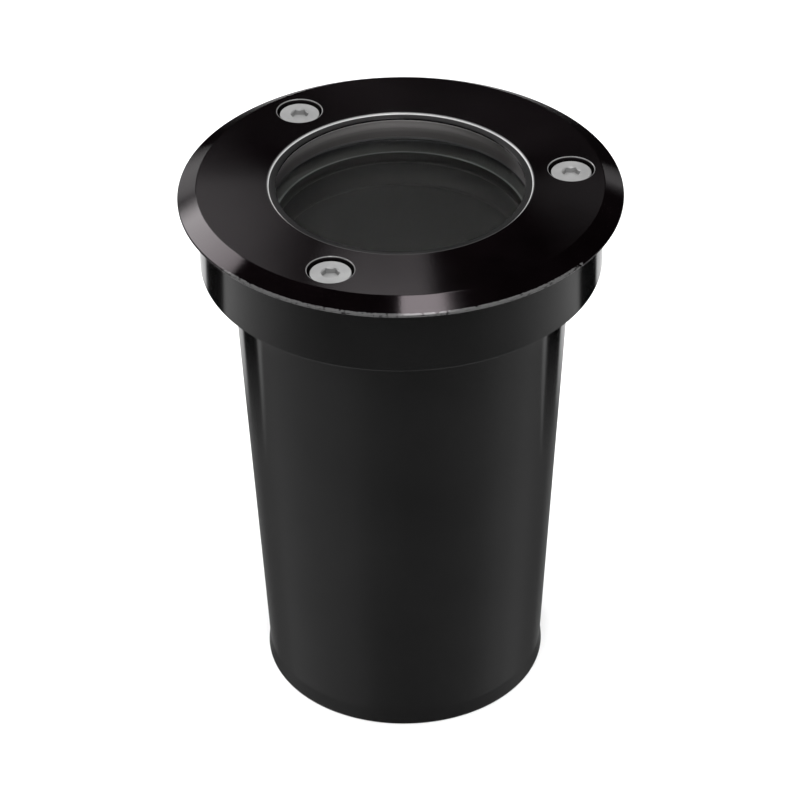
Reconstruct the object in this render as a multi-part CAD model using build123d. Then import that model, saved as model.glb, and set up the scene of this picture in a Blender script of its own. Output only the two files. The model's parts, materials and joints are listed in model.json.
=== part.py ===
from build123d import *
import os
from math import cos, pi, radians, sin, tan

# In-ground well light: a ground sleeve with its base cap, a sealed die-cast fixture that holds a
# twist-lock lamp, and a screwed cover ring over thick glass.
# Millimetres, +Z up. The origin is at the centre of the base, on the surface that the sleeve stands on.

# ---- driving dimensions -------------------------------------------------------------------------

total_height = 144.0  # base to the flat top of the cover

# cover ring
cover_r = 55.0
cover_flat_r = 50.3  # the flat top ends here and the chamfer begins
chamfer_drop = 2.65
cover_edge = 0.55  # upright edge under the chamfer
window_rim_r = 32.7  # edge of the window in the flat top
window_rim_step = 0.4
window_lip_r = 30.8  # thin lip that overhangs the window's wall
window_lip_slope = 0.1
window_lip_t = 0.8
window_r = 32.0
window_groove = 0.15  # the lower part of the wall is this much wider
window_groove_depth = 4.0
hub_drop = 2.0  # the hub stands this far below the rim, inside the collar
skirt_t = 4.5  # the skirt presses on the gasket's upper lip
edge_break = 0.15  # on the cover's sharp edges

# cover screws: M6, low heads with a hexagon socket
screw_circle_r = 42.5
screw_count = 3
first_screw_angle = 6.7
screw_head_r = 5.0
screw_head_h = 2.2
screw_head_chamfer = 0.2
screw_head_sink = 0.8  # the head lies this far below the flat top
counterbore_r = 5.65
counterbore_chamfer = 0.25
socket_flats = 4.0
socket_depth = 1.5
m6_r = 3.0
screw_length = 14.0
screw_hole_r = 3.3

# glass and its gasket
glass_depth = 7.4  # flat top of the cover to the top of the glass
glass_r = 37.0
glass_t = 8.0
glass_bevel = 0.5
gasket_lip_t = 0.6
gasket_lip_r = 33.0
gasket_seat_t = 1.0
gasket_wall_t = 1.4
gasket_flange_t = 1.0
gasket_flange_r = 47.2
gasket_fit = 0.2  # the gasket's wall to the body's pocket

# ground sleeve
collar_r = 50.1
collar_wall_t = 1.7
collar_h = 19.0
sleeve_wall_t = 2.0
tube_top_r = 42.35  # outside, under the collar
tube_foot_r = 36.15  # outside, on the base cap
collar_break = 0.5  # on the collar's lower edge

# base cap
cap_band_r = 36.5
cap_band_h = 4.0
cap_floor_t = 2.4
cap_wall_t = 2.0
cap_spigot_h = 8.0
cap_fit = 0.15  # the spigot to the tube's wall
cap_round = 1.2
conduit_r = 10.2  # takes a 20 mm conduit
conduit_wall_t = 2.4
conduit_boss_h = 6.0
drain_count = 6
drain_r = 3.0
drain_circle_r = 22.5

# lamp body
fixture_gap = 0.4  # the fixture's head to the inside of the collar
seat_r = 32.3  # inner edge of the glass seat, top of the barrel's bore
barrel_wall_t = 2.4
barrel_draft = 1.0  # degrees a side
floor_height = 33.0  # underside of the body's floor above the base
floor_t = 3.0
pocket_wall_t = 2.4
head_skirt_t = 1.8
head_web_t = 4.0
boss_r = 5.2
thread_gap = 0.1  # a thread's crest to the wall of its hole, in radius
tap_depth = 12.5

# cable gland, M16
gland_r = 8.0
gland_flats = 20.0
gland_flange_t = 5.0
gland_washer_t = 1.0
gland_bore_r = 5.0
gland_stem_above = 5.5  # threaded stem above the body's floor
gland_stem_below = 10.0  # threaded stem below the flange
gland_cup_r = 6.4
gland_cup_depth = 8.0
locknut_t = 5.0
seal_fit = 0.2
cable_r = 4.2  # bore of the sealing insert
seal_foot_h = 2.0
nut_wall_h = 13.5
nut_floor_t = 2.5
nut_gap = 0.5  # nut to flange
nut_opening_r = 5.2

# twist-lock lamp and its holder
lamp_r = 25.0
lamp_length = 54.0
lamp_gap = 6.0  # lamp face to the glass
lamp_wall_t = 1.4
lamp_neck_r = 14.0
lamp_base_r = 12.3
lamp_base_h = 11.0
lamp_rim_h = 7.0
lamp_waist_r = 21.5  # where the neck cone meets the steeper rim cone
lamp_waist_drop = 22.0  # the waist lies this far below the lamp's face
lamp_lens_t = 2.0
lamp_lens_step = 1.5
pin_spread = 5.0  # each pin's axis from the lamp's axis
pin_neck_r = 1.5
pin_neck_h = 4.3
pin_head_r = 2.5
pin_head_h = 2.7
lamp_twist = 25.0  # degrees between locked and free
holder_r = 15.0
holder_h = 14.0
holder_gap = 0.3  # lamp shoulder to the holder
holder_roof_t = 3.0
holder_floor_t = 2.5
keyhole_gap = 0.25
contact_gap = 0.3
contact_t = 0.7
contact_h = 6.0
contact_half_angle = 26.0
contact_stud_r = 0.8
contact_stud_h = 3.5
holder_screw_y = 12.2

# bracket that carries the holder
bracket_t = 1.2
bracket_width = 18.0
bracket_leg_y = 19.0
bracket_bend_r = 2.0
bracket_foot_margin = 3.4  # from a foot screw's axis to the foot's end
pad_h = 4.0
pad_r = 4.2

# small screws: shank radius, head radius, head height
m4 = (2.0, 3.6, 2.2)
m3 = (1.5, 2.75, 1.8)
m25 = (1.25, 2.2, 1.5)
small_hole_gap = 0.2  # a small screw in the hole that it passes through
small_bite = 4.5  # length of a small screw in its tapped hole

# two-pole terminal block, its wires running along Y
terminal_x = 21.0
terminal_pitch = 9.0
terminal_width = 16.0
terminal_depth = 16.0
terminal_h = 8.0
terminal_pad_h = 3.0
chimney_r = 3.1
chimney_h = 4.0
clamp_y = 4.5
barrel_r = 2.1
barrel_bore_r = 1.25
barrel_length = 14.0
clamp_screw_h = 5.0

# leads with heat-proof sleeving
lead_r = 1.1
wire_r = 0.6
wire_length = 6.0
lead_bend_r = 3.5
live_run_y = 11.9
lead_spacing = 3.7  # from the live lead's run to the neutral lead's, which passes outside it

# earth point
earth_x = -21.0
earth_washer_r = 4.2
earth_washer_t = 0.8

# ---- heights and radii that follow from them ----------------------------------------------------

rim_under = total_height - chamfer_drop - cover_edge
hub_under = rim_under - hub_drop
glass_top = total_height - glass_depth
glass_under = glass_top - glass_t
skirt_under = glass_top + gasket_lip_t
seat_top = glass_under - gasket_seat_t
head_top = hub_under - gasket_flange_t

ledge_under = rim_under - collar_h
ledge_top = ledge_under + sleeve_wall_t
collar_inner_r = collar_r - collar_wall_t
head_r = collar_inner_r - fixture_gap
gasket_r = glass_r + gasket_wall_t
pocket_r = gasket_r + gasket_fit
skirt_r = window_r + skirt_t

floor_top = floor_height + floor_t
web_under = head_top - head_web_t
pocket_wall_r = pocket_r + pocket_wall_t
spigot_r = tube_foot_r - sleeve_wall_t - cap_fit

screw_head_top = total_height - screw_head_sink
screw_seat = screw_head_top - screw_head_h

lamp_face = glass_under - lamp_gap
lamp_shoulder = lamp_face - lamp_length
lamp_waist_z = lamp_face - lamp_waist_drop
holder_top = lamp_shoulder - holder_gap
holder_under = holder_top - holder_h
bracket_top = holder_under
foot_under = floor_top + pad_h
bracket_screw_y = bracket_leg_y + bracket_bend_r + m4[1] + small_hole_gap
bracket_foot_y = bracket_screw_y + bracket_foot_margin
contact_r = pin_spread + pin_head_r + contact_gap
chamber_r = contact_r + contact_t + contact_gap
stud_x = contact_r + contact_t / 2
stud_under = holder_under + holder_floor_t - contact_stud_h

terminal_under = floor_top + terminal_pad_h
terminal_top = terminal_under + terminal_h
wire_z = terminal_under + terminal_h / 2
live_x = terminal_x - terminal_pitch / 2
neutral_x = terminal_x + terminal_pitch / 2


def tube_outer(height):
    """Outside radius of the sleeve's tapered tube."""
    share = (height - cap_band_h) / (ledge_under - cap_band_h)
    return tube_foot_r + (tube_top_r - tube_foot_r) * share


def tube_inner(height):
    return tube_outer(height) - sleeve_wall_t


def barrel_inner(height):
    """Radius of the lamp body's drafted bore."""
    return seat_r - (seat_top - height) * tan(radians(barrel_draft))


def barrel_outer(height):
    return barrel_inner(height) + barrel_wall_t


# ---- shapes that several pieces use --------------------------------------------------------------


def turned(*outline):
    """A turned piece from its half section, a closed outline of (radius, height) points."""
    return revolve(Plane.XZ * make_face(Polyline(*outline, close=True)), Axis.Z)


def drum(radius, low, high, at=(0, 0)):
    """An upright cylinder between two heights."""
    upright = (Align.CENTER, Align.CENTER, Align.MIN)
    return Pos(at[0], at[1], low) * Cylinder(radius, high - low, align=upright)


def hexagon(flats, low, high, turn=0.0):
    """An upright hexagonal prism between two heights, with a corner at the angle turn."""
    outline = RegularPolygon(flats / 2, 6, major_radius=False, rotation=turn)
    return Pos(0, 0, low) * extrude(outline, high - low)


def rims(piece, radius, height):
    """The round edges of a piece that lie at this radius and height."""
    circles = piece.edges().filter_by(GeomType.CIRCLE)
    return circles.filter_by(
        lambda edge: abs(edge.radius - radius) < 1e-3 and abs(edge.arc_center.Z - height) < 1e-3
    )


def on_circle(radius, count, first_angle=0.0):
    """Points (x, y) that share a circle evenly."""
    angles = [radians(first_angle + 360.0 * i / count) for i in range(count)]
    return [(radius * cos(angle), radius * sin(angle)) for angle in angles]


def small_screw(sizes, seat, length, at):
    """A pan-head screw under its head at the height seat, with a straight slot."""
    shank_r, head_r_, head_h = sizes
    head = drum(head_r_, seat, seat + head_h, at)
    head = chamfer(rims(head, head_r_, seat + head_h), head_h / 4)
    slot = Pos(at[0], at[1], seat + head_h) * Box(2 * head_r_, shank_r / 2, head_h)
    return head - slot + drum(shank_r, seat - length, seat, at)


def tapped_hole(sizes, mouth, depth, at):
    """The space of a tapped hole for a small screw."""
    return drum(sizes[0] + thread_gap, mouth - depth, mouth, at)


screw_places = on_circle(screw_circle_r, screw_count, first_screw_angle)

# ---- ground sleeve -------------------------------------------------------------------------------


def make_mounting_sleeve():
    shell = turned(
        (tube_inner(cap_band_h), cap_band_h),
        (tube_outer(cap_band_h), cap_band_h),
        (tube_outer(ledge_under), ledge_under),
        (collar_r, ledge_under),
        (collar_r, rim_under),
        (collar_inner_r, rim_under),
        (collar_inner_r, ledge_top),
        (tube_inner(ledge_top), ledge_top),
    )
    return chamfer(rims(shell, collar_r, ledge_under), collar_break)


def make_base_cap():
    spigot_top = cap_band_h + cap_spigot_h
    boss_outer_r = conduit_r + conduit_wall_t
    cap = turned(
        (conduit_r, 0),
        (cap_band_r, 0),
        (cap_band_r, cap_band_h),
        (spigot_r, cap_band_h),
        (spigot_r, spigot_top),
        (spigot_r - cap_wall_t, spigot_top),
        (spigot_r - cap_wall_t, cap_floor_t),
        (boss_outer_r, cap_floor_t),
        (boss_outer_r, conduit_boss_h),
        (conduit_r, conduit_boss_h),
    )
    cap = fillet(rims(cap, cap_band_r, 0), cap_round)
    cap = chamfer(rims(cap, spigot_r, spigot_top), cap_wall_t / 3)
    for place in on_circle(drain_circle_r, drain_count, 180.0 / drain_count):
        cap -= drum(drain_r, 0, cap_floor_t, place)
    return cap


# ---- fixture: body, glass and gasket -------------------------------------------------------------


def make_lamp_body():
    """Die-cast body: a cored head that rests on the sleeve's ledge, and a drafted barrel."""
    head_skirt_r = head_r - head_skirt_t
    gland_hole_r = gland_r + thread_gap
    body = turned(
        (gland_hole_r, floor_height),
        (barrel_outer(floor_height), floor_height),
        (barrel_outer(ledge_top), ledge_top),
        (pocket_wall_r, ledge_top),
        (pocket_wall_r, web_under),
        (head_skirt_r, web_under),
        (head_skirt_r, ledge_top),
        (head_r, ledge_top),
        (head_r, head_top),
        (pocket_r, head_top),
        (pocket_r, seat_top),
        (seat_r, seat_top),
        (barrel_inner(floor_top), floor_top),
        (gland_hole_r, floor_top),
    )
    bosses = [drum(boss_r, ledge_top, web_under, place) for place in screw_places]
    body += [boss - drum(pocket_r, seat_top, head_top) for boss in bosses]
    for place in screw_places:
        body -= drum(m6_r, head_top - tap_depth, head_top, place)

    bracket_pads = [(0, bracket_screw_y), (0, -bracket_screw_y)]
    body += [drum(pad_r, floor_top, foot_under, place) for place in bracket_pads]
    body += drum(pad_r, floor_top, foot_under, (earth_x, 0))
    body += Pos(terminal_x, 0, floor_top) * Box(
        terminal_width,
        terminal_depth,
        terminal_pad_h,
        align=(Align.CENTER, Align.CENTER, Align.MIN),
    )
    for place in bracket_pads + [(earth_x, 0)]:
        body -= tapped_hole(m4, foot_under, small_bite + thread_gap, place)
    body -= tapped_hole(m25, terminal_under, small_bite + thread_gap, (terminal_x, 0))
    return body


def make_glass_lens():
    glass = drum(glass_r, glass_under, glass_top)
    edges = rims(glass, glass_r, glass_top) + rims(glass, glass_r, glass_under)
    return chamfer(edges, glass_bevel)


def make_glass_gasket():
    """One silicone moulding: lips over and under the glass, and a flange under the cover's hub."""
    bevel = glass_bevel
    gasket = turned(
        (gasket_lip_r, seat_top),
        (gasket_r, seat_top),
        (gasket_r, head_top),
        (gasket_flange_r, head_top),
        (gasket_flange_r, hub_under),
        (skirt_r + gasket_fit, hub_under),
        (skirt_r + gasket_fit, skirt_under),
        (gasket_lip_r, skirt_under),
        (gasket_lip_r, glass_top),
        (glass_r - bevel, glass_top),
        (glass_r, glass_top - bevel),
        (glass_r, glass_under + bevel),
        (glass_r - bevel, glass_under),
        (gasket_lip_r, glass_under),
    )
    for place in screw_places:
        gasket -= drum(screw_hole_r, head_top, hub_under, place)
    return gasket


# ---- cover ring and its screws -------------------------------------------------------------------


def make_cover_ring():
    top = total_height
    lip_top = top - window_rim_step - window_lip_slope
    hub_r = collar_inner_r - fixture_gap / 2
    ring = turned(
        (window_lip_r, lip_top),
        (window_lip_r, lip_top - window_lip_t),
        (window_r, lip_top - window_lip_t),
        (window_r, top - window_groove_depth),
        (window_r + window_groove, top - window_groove_depth),
        (window_r + window_groove, skirt_under),
        (skirt_r, skirt_under),
        (skirt_r, hub_under),
        (hub_r, hub_under),
        (hub_r, rim_under),
        (cover_r, rim_under),
        (cover_r, rim_under + cover_edge),
        (cover_flat_r, top),
        (window_rim_r, top),
        (window_rim_r, top - window_rim_step),
    )
    for place in screw_places:
        ring -= drum(counterbore_r, screw_seat, top, place)
        ring -= drum(screw_hole_r, hub_under, screw_seat, place)
    ring = chamfer(rims(ring, counterbore_r, top), counterbore_chamfer)
    sharp = rims(ring, window_rim_r, top) + rims(ring, cover_flat_r, top)
    return chamfer(sharp + rims(ring, cover_r, rim_under + cover_edge), edge_break)


def make_cover_screw(place):
    tip = screw_seat - screw_length
    screw = turned(
        (0, tip),
        (m6_r - thread_gap - screw_head_sink, tip),
        (m6_r - thread_gap, tip + screw_head_sink),
        (m6_r - thread_gap, screw_seat),
        (screw_head_r, screw_seat),
        (screw_head_r, screw_head_top - screw_head_chamfer),
        (screw_head_r - screw_head_chamfer, screw_head_top),
        (0, screw_head_top),
    )
    screw -= hexagon(socket_flats, screw_head_top - socket_depth, screw_head_top, 90.0)
    return Pos(place[0], place[1], 0) * screw


# ---- cable gland ---------------------------------------------------------------------------------

flange_top = floor_height - gland_washer_t
flange_under = flange_top - gland_flange_t
stem_under = flange_under - gland_stem_below
stem_r = gland_r - thread_gap
nut_top = flange_under - nut_gap
nut_under = nut_top - nut_wall_h


def make_gland_body():
    body = hexagon(gland_flats, flange_under, flange_top)
    body += drum(stem_r, flange_top, floor_top + gland_stem_above)
    body += drum(stem_r, stem_under, flange_under)
    body -= drum(gland_bore_r, stem_under, floor_top + gland_stem_above)
    return body - drum(gland_cup_r, stem_under, stem_under + gland_cup_depth)


def make_gland_washer():
    return drum(gland_flats / 2, flange_top, floor_height) - drum(gland_r, flange_top, floor_height)


def make_gland_locknut():
    nut_top_ = floor_top + locknut_t
    return hexagon(gland_flats, floor_top, nut_top_) - drum(gland_r, floor_top, nut_top_)


def make_gland_seal():
    """Rubber insert in the gland's cup, with a foot that the nut presses on."""
    foot_under_ = stem_under - seal_foot_h
    outer_r = gland_cup_r - seal_fit
    return turned(
        (cable_r, foot_under_),
        (outer_r, foot_under_),
        (outer_r, stem_under + gland_cup_depth - seal_fit),
        (cable_r, stem_under + gland_cup_depth - seal_fit),
    )


def make_gland_nut():
    """Domed nut: hexagon above, a turned nose with the cable's opening below."""
    nut = hexagon(gland_flats, nut_under, nut_top)
    nose = turned(
        (0, nut_under),
        (gland_r + nut_floor_t / 2, nut_under),
        (gland_flats / 2 / cos(pi / 6), nut_under + nut_floor_t),
        (gland_flats / 2 / cos(pi / 6), nut_top),
        (0, nut_top),
    )
    nut &= nose
    nut -= drum(gland_r, stem_under - seal_foot_h - seal_fit, nut_top)
    return nut - drum(nut_opening_r, nut_under, nut_top)


# ---- lamp ----------------------------------------------------------------------------------------


def make_lamp_shell():
    """Shell of the reflector lamp: a neck cone and a steeper rim cone, open in front for its lens."""
    neck_z = lamp_shoulder + lamp_base_h
    rim_z = lamp_face - lamp_rim_h
    lens_r = lamp_r - lamp_wall_t
    lens_z = lamp_face - lamp_lens_t
    return turned(
        (0, neck_z),
        (lamp_neck_r, neck_z),
        (lamp_waist_r, lamp_waist_z),
        (lamp_r, rim_z),
        (lamp_r, lamp_face),
        (lens_r, lamp_face),
        (lens_r, lens_z),
        (lens_r - lamp_lens_step, lens_z),
        (lens_r - lamp_lens_step, rim_z),
        (lamp_waist_r - lamp_wall_t, lamp_waist_z),
        (lamp_neck_r - lamp_wall_t, neck_z + lamp_wall_t),
        (0, neck_z + lamp_wall_t),
    )


def make_lamp_lens():
    return drum(lamp_r - lamp_wall_t, lamp_face - lamp_lens_t, lamp_face)


def make_lamp_base():
    return drum(lamp_base_r, lamp_shoulder, lamp_shoulder + lamp_base_h)


pin_places = on_circle(pin_spread, 2)


def make_lamp_pins():
    neck_under = lamp_shoulder - pin_neck_h
    pins = Part()
    for place in pin_places:
        pins += drum(pin_neck_r, neck_under, lamp_shoulder, place)
        pins += drum(pin_head_r, neck_under - pin_head_h, neck_under, place)
    return pins


# ---- lamp holder and bracket ---------------------------------------------------------------------

holder_screw_places = [(0, holder_screw_y), (0, -holder_screw_y)]
holder_screw_seat = holder_top - m3[2] - keyhole_gap


def make_holder_body():
    """Ceramic holder: a chamber for the contacts under two keyhole slots."""
    roof_under = holder_top - holder_roof_t
    holder = drum(holder_r, holder_under, holder_top)
    holder -= drum(chamber_r, holder_under + holder_floor_t, roof_under)
    for start, place in zip((0.0, 180.0), on_circle(pin_spread, 2, lamp_twist)):
        holder -= drum(pin_head_r + keyhole_gap, roof_under, holder_top, place)
        slot = SlotArc(
            CenterArc((0, 0), pin_spread, start, lamp_twist), 2 * (pin_neck_r + keyhole_gap)
        )
        holder -= Pos(0, 0, roof_under) * extrude(slot, holder_roof_t)
    for place in on_circle(stud_x, 2):
        holder -= drum(contact_stud_r + small_hole_gap, holder_under, roof_under, place)
    for place in holder_screw_places:
        holder -= drum(m3[0] + small_hole_gap, holder_under, holder_top, place)
        holder -= drum(m3[1] + small_hole_gap, holder_screw_seat, holder_top, place)
    return holder


def make_holder_contacts():
    """Two curved spring leaves beside the pins' heads, each with a stud through the floor."""
    low = holder_under + holder_floor_t
    contacts = Part()
    for middle in (0.0, 180.0):
        first = middle - contact_half_angle
        arc = CenterArc((0, 0), stud_x, first, 2 * contact_half_angle)
        contacts += Pos(0, 0, low) * extrude(trace(arc, contact_t), contact_h)
    for place in on_circle(stud_x, 2):
        contacts += drum(contact_stud_r, stud_under, low, place)
    return contacts


def make_holder_screws():
    length = holder_screw_seat - bracket_top + small_bite
    return Part() + [small_screw(m3, holder_screw_seat, length, place) for place in holder_screw_places]


def make_holder_bracket():
    """Folded strip with a foot at each end, on the two pads of the body's floor."""
    top_z = bracket_top - bracket_t / 2
    foot_z = foot_under + bracket_t / 2
    bend = FilletPolyline(
        (-bracket_foot_y, foot_z),
        (-bracket_leg_y, foot_z),
        (-bracket_leg_y, top_z),
        (bracket_leg_y, top_z),
        (bracket_leg_y, foot_z),
        (bracket_foot_y, foot_z),
        radius=bracket_bend_r,
    )
    strip = extrude(Plane.YZ * trace(bend, bracket_t), bracket_width / 2, both=True)
    for place in holder_screw_places:
        strip -= drum(m3[0] + thread_gap, bracket_top - bracket_t, bracket_top, place)
    for place in on_circle(stud_x, 2):
        strip -= drum(2 * lead_r, bracket_top - bracket_t, bracket_top, place)
    for y in (bracket_screw_y, -bracket_screw_y):
        strip -= drum(m4[0] + small_hole_gap, foot_under, foot_under + bracket_t, (0, y))
    return strip


def make_bracket_screws():
    seat = foot_under + bracket_t
    places = [(0, bracket_screw_y), (0, -bracket_screw_y)]
    length = bracket_t + small_bite - thread_gap
    return Part() + [small_screw(m4, seat, length, place) for place in places]


# ---- terminal block ------------------------------------------------------------------------------

clamp_places = [(x, y) for x in (live_x, neutral_x) for y in (clamp_y, -clamp_y)]
chimney_top = terminal_top + chimney_h


def wire_hole(radius, length, x):
    """The space of a hole along Y through one pole of the block."""
    return Pos(x, 0, wire_z) * Rot(X=90) * Cylinder(radius, length)


def make_terminal_block():
    block = Pos(terminal_x, 0, terminal_under) * Box(
        terminal_width,
        terminal_depth,
        terminal_h,
        align=(Align.CENTER, Align.CENTER, Align.MIN),
    )
    block += [drum(chimney_r, terminal_top, chimney_top, place) for place in clamp_places]
    for x in (live_x, neutral_x):
        block -= wire_hole(barrel_r + thread_gap, terminal_depth, x)
    for place in clamp_places:
        block -= drum(m3[0] + small_hole_gap, wire_z, chimney_top, place)
    return block - drum(m25[0] + small_hole_gap, terminal_under, terminal_top, (terminal_x, 0))


def make_terminal_barrels():
    barrels = Part()
    for x in (live_x, neutral_x):
        barrels += wire_hole(barrel_r, barrel_length, x) - wire_hole(barrel_bore_r, barrel_length, x)
    for place in clamp_places:
        barrels -= drum(m3[0] + thread_gap, wire_z, wire_z + 2 * barrel_r, place)
    return barrels


def make_terminal_screws():
    """Headless clamp screws that bear on the wires."""
    low = wire_z + wire_r
    screws = Part()
    for x, y in clamp_places:
        screw = drum(m3[0], low, low + clamp_screw_h, (x, y))
        screws += screw - Pos(x, y, low + clamp_screw_h) * Box(2 * m3[0], wire_r, 2 * wire_r)
    return screws


def make_terminal_fixing_screw():
    length = terminal_h + small_bite - thread_gap
    return small_screw(m25, terminal_top, length, (terminal_x, 0))


# ---- leads and earth point -----------------------------------------------------------------------


def lead(*points):
    """Sleeved wire from a contact's stud to the terminal block, bared at its far end."""
    route = FilletPolyline(*points, radius=lead_bend_r)
    start = Plane(route @ 0, z_dir=route % 0)
    end = Plane(route @ 1, z_dir=route % 1)
    sleeve = sweep(start * Circle(lead_r), route)
    return sleeve + extrude(end * Circle(wire_r), wire_length)


block_face_y = terminal_depth / 2


def make_live_lead():
    return lead(
        (stud_x, 0, stud_under),
        (stud_x, 0, wire_z),
        (stud_x, live_run_y, wire_z),
        (live_x, live_run_y, wire_z),
        (live_x, block_face_y, wire_z),
    )


def make_neutral_lead():
    """Runs outside the live lead to the outer pole."""
    neutral_run_y = live_run_y + lead_spacing
    return lead(
        (-stud_x, 0, stud_under),
        (-stud_x, 0, wire_z),
        (-stud_x, neutral_run_y, wire_z),
        (neutral_x, neutral_run_y, wire_z),
        (neutral_x, block_face_y, wire_z),
    )


def make_earth_washer():
    low = foot_under
    high = low + earth_washer_t
    place = (earth_x, 0)
    return drum(earth_washer_r, low, high, place) - drum(m4[0] + small_hole_gap, low, high, place)


def make_earth_screw():
    seat = foot_under + earth_washer_t
    return small_screw(m4, seat, earth_washer_t + small_bite - thread_gap, (earth_x, 0))


# ---- every piece by its name ---------------------------------------------------------------------

pieces = {
    "mounting_sleeve": make_mounting_sleeve(),
    "base_cap": make_base_cap(),
    "lamp_body": make_lamp_body(),
    "glass_lens": make_glass_lens(),
    "glass_gasket": make_glass_gasket(),
    "cover_ring": make_cover_ring(),
    "gland_body": make_gland_body(),
    "gland_washer": make_gland_washer(),
    "gland_locknut": make_gland_locknut(),
    "gland_seal": make_gland_seal(),
    "gland_nut": make_gland_nut(),
    "lamp_shell": make_lamp_shell(),
    "lamp_lens": make_lamp_lens(),
    "lamp_base": make_lamp_base(),
    "lamp_pins": make_lamp_pins(),
    "holder_body": make_holder_body(),
    "holder_contacts": make_holder_contacts(),
    "holder_screws": make_holder_screws(),
    "holder_bracket": make_holder_bracket(),
    "bracket_screws": make_bracket_screws(),
    "terminal_block": make_terminal_block(),
    "terminal_barrels": make_terminal_barrels(),
    "terminal_screws": make_terminal_screws(),
    "terminal_fixing_screw": make_terminal_fixing_screw(),
    "live_lead": make_live_lead(),
    "neutral_lead": make_neutral_lead(),
    "earth_washer": make_earth_washer(),
    "earth_screw": make_earth_screw(),
}
for number, place in enumerate(screw_places, start=1):
    pieces[f"cover_screw_{number}"] = make_cover_screw(place)

os.makedirs("parts", exist_ok=True)
for name, piece in pieces.items():
    export_step(piece, f"parts/{name}.step")
    print(f"{name}: {len(piece.solids())} solids, {piece.volume:.1f} mm3")
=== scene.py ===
"""In-ground well light: the finish of every piece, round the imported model."""
import json
from math import cos, pi, radians, sin

import bmesh
import bpy
from mathutils import Matrix, Vector

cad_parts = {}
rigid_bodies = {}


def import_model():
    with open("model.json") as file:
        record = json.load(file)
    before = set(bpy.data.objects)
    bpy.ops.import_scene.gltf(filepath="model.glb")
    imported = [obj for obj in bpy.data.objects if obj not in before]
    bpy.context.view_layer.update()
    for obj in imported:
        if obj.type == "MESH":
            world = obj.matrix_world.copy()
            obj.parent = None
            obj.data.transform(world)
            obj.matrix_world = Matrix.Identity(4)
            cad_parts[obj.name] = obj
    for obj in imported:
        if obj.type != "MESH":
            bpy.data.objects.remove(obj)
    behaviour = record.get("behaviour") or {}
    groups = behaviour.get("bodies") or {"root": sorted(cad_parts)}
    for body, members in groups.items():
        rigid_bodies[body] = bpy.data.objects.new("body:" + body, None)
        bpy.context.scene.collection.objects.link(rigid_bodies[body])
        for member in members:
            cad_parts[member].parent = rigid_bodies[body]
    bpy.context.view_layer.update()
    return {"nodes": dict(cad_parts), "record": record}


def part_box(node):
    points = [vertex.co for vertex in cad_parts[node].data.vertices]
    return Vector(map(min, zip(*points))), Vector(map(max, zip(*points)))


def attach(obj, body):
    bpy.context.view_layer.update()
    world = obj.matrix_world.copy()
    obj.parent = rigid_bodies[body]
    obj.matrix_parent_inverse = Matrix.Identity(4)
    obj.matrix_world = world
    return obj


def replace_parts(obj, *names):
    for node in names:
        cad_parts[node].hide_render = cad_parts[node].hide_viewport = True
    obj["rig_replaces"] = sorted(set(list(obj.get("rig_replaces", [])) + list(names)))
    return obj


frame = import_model()

# ---- sizes, in millimetres -----------------------------------------------------------------------

MM = 0.001
FAR = 1000.0  # beyond every piece


def low(node):
    """Lowest corner of a node."""
    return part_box(node)[0] / MM


def high(node):
    """Highest corner of a node."""
    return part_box(node)[1] / MM


COVER_R = high("cover_ring").x
COVER_TOP = high("cover_ring").z
COVER_UNDER = high("mounting_sleeve").z  # the rim rests on the collar
SKIRT_UNDER = low("cover_ring").z
COLLAR_R = high("mounting_sleeve").x
COLLAR_H = 19.0
LEDGE = COVER_UNDER - COLLAR_H  # underside of the collar
BAND_R = high("base_cap").x
BAND_TOP = low("mounting_sleeve").z
SPIGOT_TOP = high("base_cap").z
GLASS_R = high("glass_lens").x
GLASS_UNDER = low("glass_lens").z
GLASS_TOP = high("glass_lens").z
GASKET_R = high("glass_gasket").x
SEAT_TOP = low("glass_gasket").z
HUB_UNDER = high("glass_gasket").z
HEAD_R = high("lamp_body").x
HEAD_TOP = high("lamp_body").z
SCREW_TOP = high("cover_screw_1").z
SCREW_TIP = low("cover_screw_1").z

SCREWS = 3
SCREW_CIRCLE_R = 42.5
FIRST_SCREW = radians(6.7)
COUNTERBORE_R = 5.65
screw_angles = [FIRST_SCREW + 2 * pi * number / SCREWS for number in range(SCREWS)]
screw_places = [(SCREW_CIRCLE_R * cos(a), SCREW_CIRCLE_R * sin(a)) for a in screw_angles]

# ---- meshes --------------------------------------------------------------------------------------

TURN_STEPS = 192  # facets round a turned piece
HOLE_STEPS = 48  # facets round a hole
FINE_STEPS = 96  # facets round a screw or its counterbore
ROUND_STEPS = 5  # facets round a small corner
PAST = 1.0  # how far a cutting tool reaches past the face it cuts
TINY = 1e-7  # metres
MERGE_REACH = 1e-6  # metres
FLAT_ANGLE = 1.0  # degrees
SHARP_ANGLE = 28.0
INNER_SHARP_ANGLE = 32.0


def half_section(corners):
    """A closed outline in the XZ plane from (radius, height, rounding) corners."""
    work = bmesh.new()
    verts = [work.verts.new((r * MM, 0, z * MM)) for r, z, _ in corners]
    work.faces.new(verts)
    for rounding in sorted({corner[2] for corner in corners} - {0}):
        sharp = [v for v, corner in zip(verts, corners) if corner[2] == rounding]
        bmesh.ops.bevel(
            work, geom=sharp, offset=rounding * MM, segments=ROUND_STEPS, profile=0.5,
            affect="VERTICES", material=-1,
        )
    bmesh.ops.delete(work, geom=work.faces[:], context="FACES_ONLY")
    return work


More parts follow.
